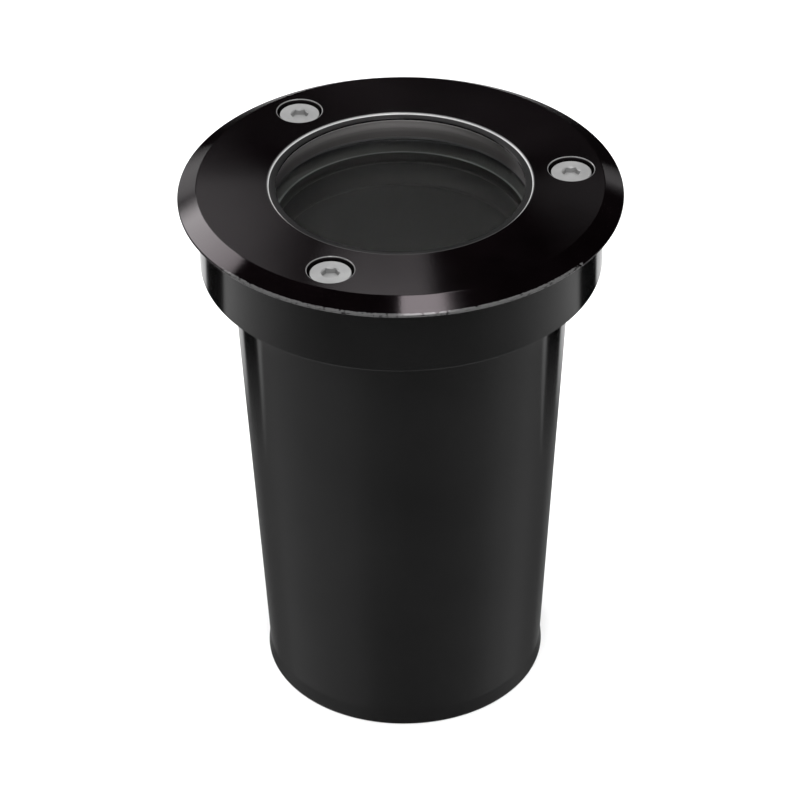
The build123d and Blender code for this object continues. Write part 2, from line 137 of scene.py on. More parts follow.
def turned(corners, steps=TURN_STEPS):
    """A turned piece about the upright axis through the origin."""
    work = half_section(corners)
    on_axis = [e for e in work.edges if all(abs(v.co.x) < TINY for v in e.verts)]
    bmesh.ops.delete(work, geom=on_axis, context="EDGES")
    bmesh.ops.spin(
        work, geom=work.verts[:] + work.edges[:], cent=(0, 0, 0), axis=(0, 0, 1),
        angle=2 * pi, steps=steps, use_merge=True,
    )
    bmesh.ops.remove_doubles(work, verts=work.verts[:], dist=TINY)
    bmesh.ops.recalc_face_normals(work, faces=work.faces[:])
    return work


def round_tool(radius, bottom, top):
    """A plain round rod that cuts a hole."""
    return turned([(0, bottom, 0), (radius, bottom, 0), (radius, top, 0), (0, top, 0)], HOLE_STEPS)


def hexagon(flats, bottom, top, turn):
    """An upright hexagonal prism with a corner at the angle turn."""
    work = bmesh.new()
    bmesh.ops.create_circle(
        work, cap_ends=True, segments=6, radius=flats / 2 / cos(pi / 6) * MM,
        matrix=Matrix.Translation((0, 0, bottom * MM)) @ Matrix.Rotation(turn, 4, "Z"),
    )
    raised = bmesh.ops.extrude_face_region(work, geom=work.faces[:])
    lifted = [item for item in raised["geom"] if isinstance(item, bmesh.types.BMVert)]
    bmesh.ops.translate(work, verts=lifted, vec=(0, 0, (top - bottom) * MM))
    bmesh.ops.recalc_face_normals(work, faces=work.faces[:])
    return work


def placed(work, place):
    """The same mesh moved to a place (x, y)."""
    bmesh.ops.translate(work, verts=work.verts[:], vec=(place[0] * MM, place[1] * MM, 0))
    return work


def solid(name, work):
    """An object in the scene from a finished mesh."""
    mesh = bpy.data.meshes.new(name)
    work.to_mesh(mesh)
    work.free()
    made = bpy.data.objects.new(name, mesh)
    bpy.context.scene.collection.objects.link(made)
    return made


def apply_modifiers(made):
    """Makes what the modifiers show the object's own mesh."""
    graph = bpy.context.evaluated_depsgraph_get()
    made.data = bpy.data.meshes.new_from_object(made.evaluated_get(graph))
    made.modifiers.clear()


def cut(name, work, tools):
    """An object from a mesh with other meshes cut out of it."""
    made = solid(name, work)
    helpers = [solid(f"{name}_tool", tool) for tool in tools]
    for helper in helpers:
        step = made.modifiers.new("cut", "BOOLEAN")
        step.object = helper
        step.operation = "DIFFERENCE"
        step.solver = "EXACT"
    apply_modifiers(made)
    for helper in helpers:
        bpy.data.objects.remove(helper)
    return made


def merged(node):
    """A cleaned copy of a node's mesh: its loose triangles joined and its flat faces made whole."""
    work = bmesh.new()
    work.from_mesh(frame["nodes"][node].data)
    bmesh.ops.remove_doubles(work, verts=work.verts[:], dist=MERGE_REACH)
    bmesh.ops.dissolve_limit(
        work, angle_limit=radians(FLAT_ANGLE), use_dissolve_boundaries=False,
        verts=work.verts[:], edges=work.edges[:],
    )
    return work


slot_of = {part["node"]: part["material_slot"] for part in frame["record"]["subparts"]}
body_of = {
    node: body for body, nodes in frame["record"]["behaviour"]["bodies"].items() for node in nodes
}


def smooth_faces(made, sharp):
    """Smooth faces, with sharp edges past an angle in degrees."""
    made.data.shade_smooth()
    made.data.set_sharp_from_angle(angle=radians(sharp))


def finish_piece(made, material, node, sharp=SHARP_ANGLE):
    """Gives a piece its material, its smooth faces and the place of the node it stands for."""
    made.data.materials.clear()
    made.data.materials.append(material)
    smooth_faces(made, sharp)
    steady = made.modifiers.new("steady faces", "WEIGHTED_NORMAL")
    steady.mode = "FACE_AREA"
    steady.weight = 100
    steady.keep_sharp = True
    apply_modifiers(made)
    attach(made, body_of[node])
    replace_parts(made, node)


# ---- nodes ---------------------------------------------------------------------------------------


def grey(value, warmth=0.0):
    """A grey, or one that leans to red."""
    return (value * (1 + warmth), value, value * (1 - warmth / 2), 1)


def feed(tree, value, socket):
    """Fills a socket with another node's output or with a plain value."""
    if isinstance(value, bpy.types.NodeSocket):
        tree.links.new(value, socket)
    else:
        socket.default_value = value


def add(tree, kind, **settings):
    """A node with its settings; a setting that names an input fills that socket."""
    node = tree.nodes.new(f"ShaderNode{kind}")
    for label, value in settings.items():
        if hasattr(node, label):
            setattr(node, label, value)
        else:
            feed(tree, value, node.inputs[label.replace("_", " ")])
    return node


def arithmetic(tree, operation, *values, clamp=False):
    """What a Math node makes of outputs or plain numbers."""
    node = add(tree, "Math", operation=operation, use_clamp=clamp)
    for socket, value in zip(node.inputs, values):
        feed(tree, value, socket)
    return node.outputs[0]


def blend_colours(tree, factor, first, second):
    """A colour mix of outputs or plain colours."""
    mix = add(tree, "Mix", data_type="RGBA")
    for number, value in ((0, factor), (6, first), (7, second)):
        feed(tree, value, mix.inputs[number])
    return mix.outputs[2]


def blend_values(tree, factor, first, second):
    """A value mix of outputs or plain numbers."""
    mix = add(tree, "Mix")
    for number, value in ((0, factor), (2, first), (3, second)):
        feed(tree, value, mix.inputs[number])
    return mix.outputs[0]


def fade(tree, value, span, start=0.0, end=1.0):
    """Runs from start to end while a value crosses a span."""
    node = add(tree, "MapRange", From_Min=span[0], From_Max=span[1], To_Min=start, To_Max=end)
    feed(tree, value, node.inputs["Value"])
    return node.outputs["Result"]


def coordinates(tree):
    """The surface's place on the object, and its three parts."""
    place = add(tree, "TexCoord").outputs["Object"]
    split = add(tree, "SeparateXYZ", Vector=place)
    return place, split.outputs["X"], split.outputs["Y"], split.outputs["Z"]


# ---- shared effects ------------------------------------------------------------------------------

FLECK_CONTRAST = 9.0


def effect(name, inputs, outputs):
    """An empty node group with named inputs and outputs."""
    group = bpy.data.node_groups.new(name, "ShaderNodeTree")
    for label, kind, default in inputs:
        socket = group.interface.new_socket(label, in_out="INPUT", socket_type=f"NodeSocket{kind}")
        socket.default_value = default
    for label, kind in outputs:
        group.interface.new_socket(label, in_out="OUTPUT", socket_type=f"NodeSocket{kind}")
    entry = group.nodes.new("NodeGroupInput").outputs
    leave = group.nodes.new("NodeGroupOutput").inputs
    return group, entry, leave


def make_mottle():
    """Slow change between two colours, as in moulded and painted surfaces."""
    group, entry, leave = effect(
        "mottle",
        [("Scale", "Float", 60.0), ("Dark", "Color", (0, 0, 0, 1)), ("Light", "Color", (1, 1, 1, 1))],
        [("Colour", "Color")],
    )
    place = coordinates(group)[0]
    noise = add(group, "TexNoise", Vector=place, Scale=entry["Scale"], Detail=4.0, Roughness=0.6)
    patch = fade(group, noise.outputs["Fac"], (0.35, 0.65))
    feed(group, blend_colours(group, patch, entry["Dark"], entry["Light"]), leave["Colour"])
    return group


def make_grain():
    """Fine even grain, as height and as a change of roughness."""
    group, entry, leave = effect(
        "grain",
        [("Scale", "Float", 900.0), ("Smooth", "Float", 0.3), ("Rough", "Float", 0.4)],
        [("Height", "Float"), ("Roughness", "Float")],
    )
    place = coordinates(group)[0]
    fine = add(group, "TexNoise", Vector=place, Scale=entry["Scale"], Detail=3.0, Roughness=0.55)
    wide = add(group, "TexNoise", Vector=place, Scale=45.0, Detail=2.0)
    gloss = fade(group, wide.outputs["Fac"], (0.3, 0.7), entry["Smooth"], entry["Rough"])
    feed(group, fine.outputs["Fac"], leave["Height"])
    feed(group, gloss, leave["Roughness"])
    return group


def within(group, entry, mask, value, lower, upper):
    """Narrows a mask to where a value lies between two of the group's limits, softly."""
    above = arithmetic(group, "SUBTRACT", value, entry[lower])
    below = arithmetic(group, "SUBTRACT", entry[upper], value)
    for past in (above, below):
        share = arithmetic(group, "DIVIDE", past, entry["Soft"], clamp=True)
        mask = arithmetic(group, "MULTIPLY", mask, share)
    return mask


def make_ring_band():
    """A soft-edged band round the upright axis: 1 inside it, between two radii and two heights."""
    group, entry, leave = effect(
        "ring_band",
        [
            ("Inner", "Float", 0.0), ("Outer", "Float", 1.0), ("Bottom", "Float", -1.0),
            ("Top", "Float", 1.0), ("Soft", "Float", 0.0001),
        ],
        [("Mask", "Float")],
    )
    _, x, y, height = coordinates(group)
    flat = add(group, "CombineXYZ", X=x, Y=y)
    radius = add(group, "VectorMath", operation="LENGTH")
    feed(group, flat.outputs[0], radius.inputs[0])
    mask = within(group, entry, 1.0, radius.outputs["Value"], "Inner", "Outer")
    feed(group, within(group, entry, mask, height, "Bottom", "Top"), leave["Mask"])
    return group


def make_hole_band():
    """A soft-edged ring round each of the screw holes."""
    group, entry, leave = effect(
        "hole_band",
        [("Inner", "Float", 0.0), ("Outer", "Float", 1.0), ("Soft", "Float", 0.0001)],
        [("Mask", "Float")],
    )
    _, x, y, _ = coordinates(group)
    flat = add(group, "CombineXYZ", X=x, Y=y)
    nearest = FAR * MM
    for hole_x, hole_y in screw_places:
        reach = add(group, "VectorMath", operation="DISTANCE")
        feed(group, flat.outputs[0], reach.inputs[0])
        feed(group, (hole_x * MM, hole_y * MM, 0), reach.inputs[1])
        nearest = arithmetic(group, "MINIMUM", nearest, reach.outputs["Value"])
    feed(group, within(group, entry, 1.0, nearest, "Inner", "Outer"), leave["Mask"])
    return group


def make_ragged():
    """Breaks a mask into the uneven flecks of a worn edge."""
    group, entry, leave = effect(
        "ragged",
        [("Mask", "Float", 1.0), ("Scale", "Float", 900.0), ("Cover", "Float", 0.5)],
        [("Mask", "Float")],
    )
    place = coordinates(group)[0]
    fleck = add(group, "TexNoise", Vector=place, Scale=entry["Scale"], Detail=5.0, Roughness=0.7)
    worn = arithmetic(group, "MULTIPLY", entry["Mask"], fleck.outputs["Fac"])
    kept = arithmetic(group, "SUBTRACT", 1.0, entry["Cover"])
    edge = arithmetic(group, "SUBTRACT", worn, kept)
    feed(group, arithmetic(group, "MULTIPLY", edge, FLECK_CONTRAST, clamp=True), leave["Mask"])
    return group


MOTTLE = make_mottle()
GRAIN = make_grain()
RING_BAND = make_ring_band()
HOLE_BAND = make_hole_band()
RAGGED = make_ragged()

# ---- materials -----------------------------------------------------------------------------------

RELIEF = 0.2  # height of the full grain, in millimetres
CRISP = 0.1  # soft edge of a narrow band


def use(tree, group, **values):
    """A shared effect placed in a material with its own values."""
    node = tree.nodes.new("ShaderNodeGroup")
    node.node_tree = group
    for label, value in values.items():
        feed(tree, value, node.inputs[label])
    return node.outputs


def band(tree, radii, heights, soft=CRISP):
    """The mask of a ring between two radii and two heights, in millimetres."""
    return use(
        tree, RING_BAND, Inner=radii[0] * MM, Outer=radii[1] * MM, Bottom=heights[0] * MM,
        Top=heights[1] * MM, Soft=soft * MM,
    )["Mask"]


def bare_material(name, **sockets):
    """A material with one shader, whose plain values are set on its own sockets."""
    material = bpy.data.materials.new(name)
    material.use_nodes = True
    shader = material.node_tree.nodes["Principled BSDF"]
    for label, value in sockets.items():
        shader.inputs[label.replace("_", " ")].default_value = value
    return material, material.node_tree, shader.inputs


def grain_relief(tree, sockets, fine, bump):
    """Lets the fine grain stand out a little."""
    relief = add(tree, "Bump", Strength=bump, Distance=RELIEF * MM, Height=fine["Height"])
    feed(tree, relief.outputs["Normal"], sockets["Normal"])


def surface(name, dark, light, smooth, rough, patch=60.0, grain=900.0, bump=0.1, **sockets):
    """A material with mottled colour, uneven gloss and fine grain."""
    material, tree, inputs = bare_material(name, **sockets)
    colour = use(tree, MOTTLE, Scale=patch, Dark=dark, Light=light)["Colour"]
    fine = use(tree, GRAIN, Scale=grain, Smooth=smooth, Rough=rough)
    feed(tree, colour, inputs["Base Color"])
    feed(tree, fine["Roughness"], inputs["Roughness"])
    grain_relief(tree, inputs, fine, bump)
    return material


# What shows on the cover's paint, in millimetres.
RIM_HIGHLIGHT_R = (32.4, 32.78)  # painted highlight: a pale line round the window's edge
RIM_HIGHLIGHT_DEPTH = 0.5
RIM_DULL_R = (32.7, 33.0)  # the duller turned edge beside it
RIM_DULL_DEPTH = 0.3
LIP_DEPTH = 0.75  # the thin lip under the rim line
WALL_R = 32.6
# the wall's colour, with its painted highlight, reaches up to here, over the lower part of the lip's
# edge
WALL_TOP = COVER_TOP - 1.05
WALL_HIGHLIGHT_END = 5.3  # the wall's painted highlight is gone this far under the top
WALL_HIGHLIGHT_SOFT = 3.3
WALL_PAINTED_SHADE_X = (8.0, 28.0)  # painted shade: the wall's painted highlight dims towards one side across this stretch
WALL_PAINTED_SHADE = 0.3
EDGE_WEAR_R = 54.0
EDGE_WEAR_TOP = COVER_TOP - 1.9
EDGE_WEAR_SOFT = 0.5
WEAR_Y = (-22.0, -38.0)  # the edge is scuffed on one side, more and more over this stretch
HOLE_RIM = (COUNTERBORE_R - 0.15, COUNTERBORE_R + 0.3)  # bare edge of each counterbore
HOLE_RIM_SOFT = 0.12
HOLE_RIM_DEPTH = 0.22


def wall_metal_and_painted_light(tree):
    """Painted highlight on the window's wall, high up, with painted shade towards one side; the same
    mask makes the wall metal.
    """
    _, x, _, _ = coordinates(tree)
    upper = band(
        tree, (0, WALL_R), (COVER_TOP - WALL_HIGHLIGHT_END, WALL_TOP + WALL_HIGHLIGHT_SOFT), WALL_HIGHLIGHT_SOFT,
    )
    painted_shade_side = fade(tree, x, (WALL_PAINTED_SHADE_X[0] * MM, WALL_PAINTED_SHADE_X[1] * MM), 1.0, WALL_PAINTED_SHADE)
    return arithmetic(tree, "MULTIPLY", upper, painted_shade_side)


def worn_edge(tree):
    """Where the paint is chipped off the lower edge."""
    _, _, y, _ = coordinates(tree)
    edge = band(tree, (EDGE_WEAR_R, FAR), (0, EDGE_WEAR_TOP), EDGE_WEAR_SOFT)
    scuffed = fade(tree, y, (WEAR_Y[0] * MM, WEAR_Y[1] * MM))
    mask = arithmetic(tree, "MULTIPLY", edge, scuffed)
    return use(tree, RAGGED, Mask=mask, Scale=1100.0, Cover=0.64)["Mask"]


def hole_rims(tree):
    """Where the edges of the counterbores are bare."""
    around = use(
        tree, HOLE_BAND, Inner=HOLE_RIM[0] * MM, Outer=HOLE_RIM[1] * MM, Soft=HOLE_RIM_SOFT * MM,
    )["Mask"]
    upper = band(tree, (0, FAR), (COVER_TOP - HOLE_RIM_DEPTH, FAR))
    return arithmetic(tree, "MULTIPLY", around, upper)


def make_cover_paint():
    """Black paint on turned metal: window wall with a painted highlight high up and painted shade to
    one side, a painted highlight as a pale line round the window, worn lower edge.
    """
    material, tree, inputs = bare_material(
        "cover_paint", Anisotropic=1.0, Anisotropic_Rotation=0.25,
        Specular_Tint=(1.0, 0.88, 0.93, 1),
    )
    paint = use(
        tree, MOTTLE, Scale=50.0, Dark=(0.0006, 0.0003, 0.0004, 1),
        Light=(0.0013, 0.0008, 0.0010, 1),
    )["Colour"]
    fine = use(tree, GRAIN, Scale=1400.0, Smooth=0.135, Rough=0.16)
    wall = band(tree, (0, WALL_R), (0, WALL_TOP))
    metal_and_painted_light = wall_metal_and_painted_light(tree)
    lip = band(tree, (0, RIM_HIGHLIGHT_R[0]), (COVER_TOP - LIP_DEPTH, FAR))
    dull = band(tree, RIM_DULL_R, (COVER_TOP - RIM_DULL_DEPTH, FAR))
    rim_highlight = band(tree, RIM_HIGHLIGHT_R, (COVER_TOP - RIM_HIGHLIGHT_DEPTH, FAR))
    worn = worn_edge(tree)
    hole = hole_rims(tree)

    # painted highlight: the wall's colour turns pale high up and stays darker to one side
    colour = blend_colours(tree, metal_and_painted_light, grey(0.045, 0.04), grey(0.95, 0.03))
    colour = blend_colours(tree, wall, paint, colour)
    # painted highlight: the rim mask paints a pale line round the window
    for mask, bare in (
        (lip, grey(0.014)), (dull, grey(0.05)), (rim_highlight, grey(0.5)), (worn, grey(0.09)),
        (hole, grey(0.3)),
    ):
        colour = blend_colours(tree, mask, colour, bare)
    metal = blend_values(tree, metal_and_painted_light, 0.0, 1.0)
    for mask, share in ((rim_highlight, 0.3), (hole, 0.7), (worn, 0.4)):
        metal = blend_values(tree, mask, metal, share)
    rough = fine["Roughness"]
    for mask, share in ((wall, 0.36), (rim_highlight, 0.42), (hole, 0.42)):
        rough = blend_values(tree, mask, rough, share)

    turning = add(tree, "Tangent", direction_type="RADIAL", axis="Z")
    feed(tree, colour, inputs["Base Color"])
    feed(tree, metal, inputs["Metallic"])
    feed(tree, rough, inputs["Roughness"])
    feed(tree, turning.outputs[0], inputs["Tangent"])
    grain_relief(tree, inputs, fine, 0.02)
    return material


EDGE_HIGHLIGHT_H = 0.45  # height of the painted highlight along the edge under the collar
EDGE_HIGHLIGHT_T = 0.4


def make_sleeve_plastic():
    """Glossy black moulding, with a painted highlight: a little paler along the edge under the
    collar.
    """
    material = surface(
        "sleeve_plastic", grey(0.003), grey(0.0042), 0.10, 0.14, patch=35.0, grain=700.0,
        bump=0.02,
    )
    tree = material.node_tree
    base = tree.nodes["Principled BSDF"].inputs["Base Color"]
    plain = base.links[0].from_socket
    # painted highlight: a paler band along the collar's lower edge
    edge = band(tree, (COLLAR_R - EDGE_HIGHLIGHT_T, FAR), (0, LEDGE + EDGE_HIGHLIGHT_H), 0.2)
    feed(tree, blend_colours(tree, edge, plain, grey(0.014)), base)
    return material


PAINTED_LIGHT_LINE_R = (31.0, 31.55)  # painted light: a pale line where the glass meets its seat, lifting the skirt's shade
PAINTED_LIGHT_SOFT = 0.2


def make_painted_shade_sheet_material():
    """A dark sheet under the glass, painted shade for the dark inside of the light, and round it a
    paler seat of painted light.
    """
    material, tree, inputs = bare_material("painted_shade_sheet", Specular_IOR_Level=0.15)
    matt = use(tree, MOTTLE, Scale=30.0, Dark=grey(0.0084, 0.05), Light=grey(0.0098, 0.05))
    fine = use(tree, GRAIN, Scale=2500.0, Smooth=0.5, Rough=0.6)
    painted_light_seat = band(tree, (PAINTED_LIGHT_LINE_R[1], FAR), (-FAR, FAR), PAINTED_LIGHT_SOFT)
    painted_light_line = band(tree, (PAINTED_LIGHT_LINE_R[0], PAINTED_LIGHT_LINE_R[1] + PAINTED_LIGHT_SOFT), (-FAR, FAR), PAINTED_LIGHT_SOFT)
    # painted light: the seat and the line are made paler against the shade that the skirt casts on
    # them
    colour = blend_colours(tree, painted_light_seat, matt["Colour"], grey(0.057, 0.03))
    colour = blend_colours(tree, painted_light_line, colour, (0.142, 0.152, 0.146, 1))
    feed(tree, colour, inputs["Base Color"])
    feed(tree, fine["Roughness"], inputs["Roughness"])
    return material


GLARE_FREE = (0.2, 0.2, 0.2, 1)  # the coated glass mirrors only weakly


def make_glass_material(name, colour):
    """Clear glass with a slightly uneven gloss."""
    material, tree, inputs = bare_material(
        name, Transmission_Weight=1.0, IOR=1.5, Base_Color=colour, Specular_Tint=GLARE_FREE,
    )
    fine = use(tree, GRAIN, Scale=400.0, Smooth=0.0, Rough=0.02)
    feed(tree, fine["Roughness"], inputs["Roughness"])
    return material


PLAIN_FINISHES = {
    "body_paint": dict(
        dark=grey(0.165), light=grey(0.19), smooth=0.42, rough=0.55, patch=260.0, grain=1600.0,
        bump=0.35,
    ),
    "stainless": dict(
        dark=grey(0.27), light=grey(0.33), smooth=0.4, rough=0.5, patch=160.0, grain=1500.0,
        Metallic=0.5,
    ),
    "zinc_steel": dict(
        dark=grey(0.36), light=grey(0.5), smooth=0.3, rough=0.42, patch=200.0, grain=1200.0,
        Metallic=1.0,
    ),
    "contact_brass": dict(
        dark=(0.55, 0.36, 0.12, 1), light=(0.7, 0.48, 0.18, 1), smooth=0.25, rough=0.4,
        patch=150.0, Metallic=1.0,
    ),
    "silicone": dict(dark=grey(0.05), light=grey(0.07), smooth=0.45, rough=0.6, patch=120.0),
    "gland_plastic": dict(dark=grey(0.012), light=grey(0.018), smooth=0.3, rough=0.42, patch=80.0),
    "ceramic_white": dict(dark=grey(0.62), light=grey(0.74), smooth=0.25, rough=0.4, patch=90.0),
    "lamp_white": dict(dark=grey(0.66), light=grey(0.76), smooth=0.3, rough=0.42),
    "terminal_plastic": dict(dark=grey(0.55), light=grey(0.66), smooth=0.35, rough=0.5, patch=70.0),
    "lead_brown": dict(
        dark=(0.09, 0.03, 0.012, 1), light=(0.13, 0.045, 0.02, 1), smooth=0.4, rough=0.5,
    ),
    "lead_blue": dict(
        dark=(0.012, 0.06, 0.24, 1), light=(0.02, 0.09, 0.32, 1), smooth=0.4, rough=0.5,
    ),
}
finishes = {name: surface(name, **look) for name, look in PLAIN_FINISHES.items()}
finishes["sleeve_plastic"] = make_sleeve_plastic()
finishes["cover_paint"] = make_cover_paint()
finishes["thick_glass"] = make_glass_material("thick_glass", (0.97, 0.985, 0.98, 1))
finishes["lamp_glass"] = make_glass_material("lamp_glass", (0.96, 0.96, 0.96, 1))
# painted shade: a dark sheet under the glass stands in for the shaded inside of the light
painted_shade_sheet = make_painted_shade_sheet_material()

# ---- ground sleeve and base cap ------------------------------------------------------------------

COLLAR_WALL = 1.7
SLEEVE_WALL = 2.0
TUBE_TOP_R = 42.35
TUBE_FOOT_R = 36.15
BAND_EASE = 3.4  # the band's upper edge runs out to the tube over this height
CAP_FLOOR = 2.4
CAP_WALL = 2.0
SPIGOT_R = TUBE_FOOT_R - SLEEVE_WALL - 0.15  # slips into the tube
CONDUIT_R = 10.2
CONDUIT_WALL = 2.4
CONDUIT_H = 6.0
DRAINS = 6
DRAIN_R = 3.0
DRAIN_CIRCLE_R = 22.5
DRAIN_BREAK = 0.3  # broken edge of a drain hole


def make_sleeve():
    """The moulded ground sleeve: a collar, a ledge and a tapered tube."""
    return solid("ground_sleeve_moulding", turned([
        (TUBE_FOOT_R - SLEEVE_WALL, BAND_TOP, 0.2),
        (TUBE_FOOT_R, BAND_TOP, 0.03),
        (TUBE_TOP_R, LEDGE, 0.3),
        (COLLAR_R, LEDGE, 0.6),
        (COLLAR_R, COVER_UNDER, 0.3),
        (COLLAR_R - COLLAR_WALL, COVER_UNDER, 0.3),
        (COLLAR_R - COLLAR_WALL, LEDGE + SLEEVE_WALL, 0.4),
        (TUBE_TOP_R - SLEEVE_WALL, LEDGE + SLEEVE_WALL, 0.6),
    ]))


def make_drain_tools():
    """What cuts the ring of drain holes, with their lower edges broken."""
    tools = []
    for number in range(DRAINS):
        angle = 2 * pi * (number + 0.5) / DRAINS
        drain = turned([
            (0, -PAST, 0), (DRAIN_R + PAST + DRAIN_BREAK, -PAST, 0), (DRAIN_R, DRAIN_BREAK, 0),
            (DRAIN_R, CAP_FLOOR + PAST, 0), (0, CAP_FLOOR + PAST, 0),
        ], HOLE_STEPS)
        tools.append(placed(drain, (DRAIN_CIRCLE_R * cos(angle), DRAIN_CIRCLE_R * sin(angle))))
    return tools


def make_cap():
    """The cap that closes the sleeve: a proud band, a spigot, a conduit boss and drains."""
    boss_r = CONDUIT_R + CONDUIT_WALL
    cap = turned([
        (CONDUIT_R, 0, 0.3),
        (BAND_R, 0, 0.35),
        (BAND_R, BAND_TOP - BAND_EASE, 0.2),
        (TUBE_FOOT_R, BAND_TOP, 0.03),
        (SPIGOT_R, BAND_TOP, 0),
        (SPIGOT_R, SPIGOT_TOP, 0.6),
        (SPIGOT_R - CAP_WALL, SPIGOT_TOP, 0.5),
        (SPIGOT_R - CAP_WALL, CAP_FLOOR, 0.8),
        (boss_r, CAP_FLOOR, 0.6),
        (boss_r, CONDUIT_H, 0.4),
        (CONDUIT_R, CONDUIT_H, 0.4),
    ])
    return cut("base_cap_moulding", cap, make_drain_tools())


# ---- cover ring ----------------------------------------------------------------------------------

FLAT_R = 50.3
CHAMFER_DROP = 2.65
RIM_R = 32.7
RIM_STEP = 0.4
LIP_R = 30.8
LIP_SLOPE = 0.1
LIP_T = 0.8
WINDOW_R = 32.0
GROOVE = 0.15
GROOVE_DEPTH = 4.0
SKIRT_R = WINDOW_R + 4.5
HUB_R = HEAD_R + 0.2
SHANK_LENGTH = 14.0
SCREW_SEAT = SCREW_TIP + SHANK_LENGTH
SCREW_HOLE_R = 3.3
BORE_BREAK = 0.2  # broken edge of a counterbore


def make_counterbore():
    """What cuts a screw's hole and counterbore, with the upper edge broken."""
    return turned([
        (0, HUB_UNDER - PAST, 0),
        (SCREW_HOLE_R, HUB_UNDER - PAST, 0),
        (SCREW_HOLE_R, SCREW_SEAT, 0),
        (COUNTERBORE_R, SCREW_SEAT, 0.2),
        (COUNTERBORE_R, COVER_TOP - BORE_BREAK, 0.12),
        (COUNTERBORE_R + PAST + BORE_BREAK, COVER_TOP + PAST, 0),
        (0, COVER_TOP + PAST, 0),
    ], FINE_STEPS)


def make_cover():
    """The turned cover: flat, chamfer, window lip, hub and skirt."""
    lip_top = COVER_TOP - RIM_STEP - LIP_SLOPE
    groove_top = COVER_TOP - GROOVE_DEPTH
    ring = turned([
        (LIP_R, lip_top, 0.12),
        (LIP_R, lip_top - LIP_T, 0.12),
        (WINDOW_R, lip_top - LIP_T, 0.1),
        (WINDOW_R, groove_top, 0.05),
        (WINDOW_R + GROOVE, groove_top, 0.05),
        (WINDOW_R + GROOVE, SKIRT_UNDER, 0.15),
        (SKIRT_R, SKIRT_UNDER, 0.2),
        (SKIRT_R, HUB_UNDER, 0.2),
        (HUB_R, HUB_UNDER, 0.3),
        (HUB_R, COVER_UNDER, 0.2),
        (COVER_R, COVER_UNDER, 0.15),
        (COVER_R, COVER_TOP - CHAMFER_DROP, 0.2),
        (FLAT_R, COVER_TOP, 0.2),
        (RIM_R, COVER_TOP, 0.2),
        (RIM_R, COVER_TOP - RIM_STEP, 0.1),
    ])
    return cut("cover_ring_plate", ring, [placed(make_counterbore(), at) for at in screw_places])


# ---- glass, its painted shade sheet and its gasket -----------------------------------------------

SHADE_SHEET_R = 36.5
SHADE_SHEET_T = 0.15
SHADE_SHEET_GAP = 0.02  # under the glass
SHADE_SHEET_ROOM = 0.2  # the painted shade sheet lies between the glass and the lip under it
LIP_INNER_R = 32.3
SKIRT_GAP = 0.2
GASKET_WALL_R = GLASS_R + 1.4


def make_glass():
    """The thick pane with rounded edges."""
    return solid("glass_pane", turned([
        (0, GLASS_UNDER, 0), (GLASS_R, GLASS_UNDER, 0.5), (GLASS_R, GLASS_TOP, 0.5),
        (0, GLASS_TOP, 0),
    ]))


def make_painted_shade_sheet():
    """The dark sheet of painted shade under the glass."""
    top = GLASS_UNDER - SHADE_SHEET_GAP
    return solid("glass_painted_shade_sheet", turned([
        (0, top - SHADE_SHEET_T, 0), (SHADE_SHEET_R, top - SHADE_SHEET_T, 0.05), (SHADE_SHEET_R, top, 0.05), (0, top, 0),
    ]))


def make_gasket():
    """The moulded seal: a U round the edge of the glass, and a flange with the screw holes."""
    ring = turned([
        (LIP_INNER_R, SEAT_TOP, 0.2),
        (GASKET_WALL_R, SEAT_TOP, 0.3),
        (GASKET_WALL_R, HEAD_TOP, 0.1),
        (GASKET_R, HEAD_TOP, 0.2),
        (GASKET_R, HUB_UNDER, 0.2),
        (SKIRT_R + SKIRT_GAP, HUB_UNDER, 0.1),
        (SKIRT_R + SKIRT_GAP, SKIRT_UNDER, 0.1),
        (LIP_INNER_R, SKIRT_UNDER, 0.1),
        (LIP_INNER_R, GLASS_TOP, 0),
        (GLASS_R, GLASS_TOP, 0.5),
        (GLASS_R, GLASS_UNDER - SHADE_SHEET_ROOM, 0.3),
        (LIP_INNER_R, GLASS_UNDER - SHADE_SHEET_ROOM, 0),
    ])
    holes = [
        placed(round_tool(SCREW_HOLE_R, HEAD_TOP - PAST, HUB_UNDER + PAST), at)
        for at in screw_places
    ]
    return cut("glass_gasket_moulding", ring, holes)


def finish_painted_shade_sheet(made):
    """The painted shade sheet stands for no node: it is a dark layer under the glass."""
    made.data.materials.append(painted_shade_sheet)
    smooth_faces(made, SHARP_ANGLE)
    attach(made, "fixture")


# ---- cover screws --------------------------------------------------------------------------------

SCREW_HEAD_R = 5.0
SOCKET_FLATS = 4.0
SOCKET_DEPTH = 1.5
SOCKET_TURN = pi / 2
MOUTH_DEPTH = 0.35  # the socket's mouth is countersunk
THREAD_R = 2.9
THREAD_PITCH = 1.0
THREAD_DEPTH = 0.45
THREAD_START = 0.6  # above the screw's tip
THREAD_END = 1.0
TIP_R = THREAD_R - 0.9
PLAIN_SHANK = 1.2


def screw_profile():
    """A screw's outline from its tip, over the ridges of its thread, to its low head."""
    core_r = THREAD_R - THREAD_DEPTH
    corners = [(0, SCREW_TIP, 0), (TIP_R, SCREW_TIP, 0.1)]
    ridges = int((SCREW_SEAT - PLAIN_SHANK - SCREW_TIP - THREAD_END) / THREAD_PITCH)
    for ridge in range(ridges):
        start = SCREW_TIP + THREAD_START + ridge * THREAD_PITCH
        corners += [(core_r, start, 0), (THREAD_R, start + THREAD_PITCH / 2, 0)]
    return corners + [
        (core_r, SCREW_TIP + THREAD_START + ridges * THREAD_PITCH, 0),
        (core_r, SCREW_SEAT, 0),
        (SCREW_HEAD_R, SCREW_SEAT, 0.15),
        (SCREW_HEAD_R, SCREW_TOP, 0.22),
        (0, SCREW_TOP, 0),
    ]


